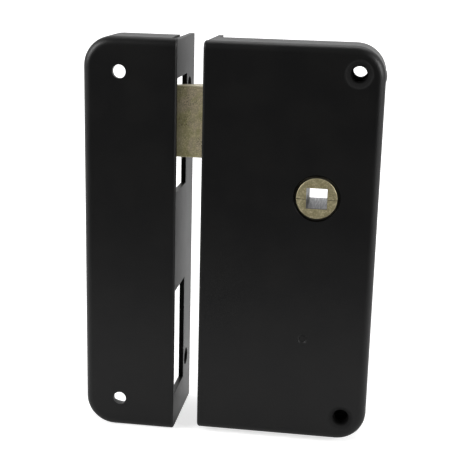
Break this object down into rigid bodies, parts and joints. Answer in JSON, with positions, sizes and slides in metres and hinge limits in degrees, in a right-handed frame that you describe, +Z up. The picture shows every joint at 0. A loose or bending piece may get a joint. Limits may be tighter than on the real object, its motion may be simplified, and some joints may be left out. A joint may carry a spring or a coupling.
{
  "type": "surface-mounted lock",
  "caption": "Surface-mounted latch lock in a black folded case, with a brass spindle follower, a sprung brass latch bolt and a matching black keep box.",
  "frame": {"origin": "on the spindle axis, in the plane where case and keep lie on the door and the frame", "axes": "+X from the forend into the case, +Y from the front into the door, +Z up"},
  "size_m": [0.1178, 0.0383, 0.1632],
  "materials": {
    "black_coat": "semi-matt coat",
    "brass": "dull, lightly grained",
    "zinc_steel": "zinc plated"
  },
  "bodies": {
    "case": {"case_cover": "black_coat", "back_plate": "zinc_steel", "upper_cover_post": "zinc_steel", "lower_cover_post": "black_coat", "upper_back_screw": "zinc_steel", "lower_back_screw": "zinc_steel", "upper_screw_sleeve": "black_coat", "lower_screw_sleeve": "black_coat", "upper_guide_post": "zinc_steel", "lower_guide_post": "zinc_steel", "upper_guide_clip": "zinc_steel", "lower_guide_clip": "zinc_steel", "spring_bracket": "zinc_steel", "inner_bracket_rivet": "zinc_steel", "outer_bracket_rivet": "zinc_steel"},
    "follower": {"follower_upper_half": "brass", "follower_lower_half": "brass"},
    "latch": {"latch_head": "brass", "latch_slide": "zinc_steel", "upper_head_rivet": "zinc_steel", "lower_head_rivet": "zinc_steel", "spring_rod": "zinc_steel", "latch_spring": "zinc_steel"},
    "keep": {"keep_box": "black_coat"}
  },
  "joints": [
    {"name": "follower_turn", "type": "hinge", "parent": "case", "child": "follower", "pos_m": [0, 0, 0], "axis": [0, 1, 0], "range_deg": [0, 45]},
    {"name": "latch_slide_in", "type": "slide", "parent": "case", "child": "latch", "axis": [1, 0, 0], "range_m": [0, 0.01247], "stiffness_N_per_m": 300, "springref_m": -0.012, "deforming": ["latch_spring"]},
    {"name": "keep_apart", "type": "slide", "parent": "case", "child": "keep", "axis": [-1, 0, 0], "range_m": [0, 0.03]}
  ],
  "couplings": [
    {"joint": "follower_turn", "follows": "latch_slide_in", "rad_per_m": 62.957}
  ]
}
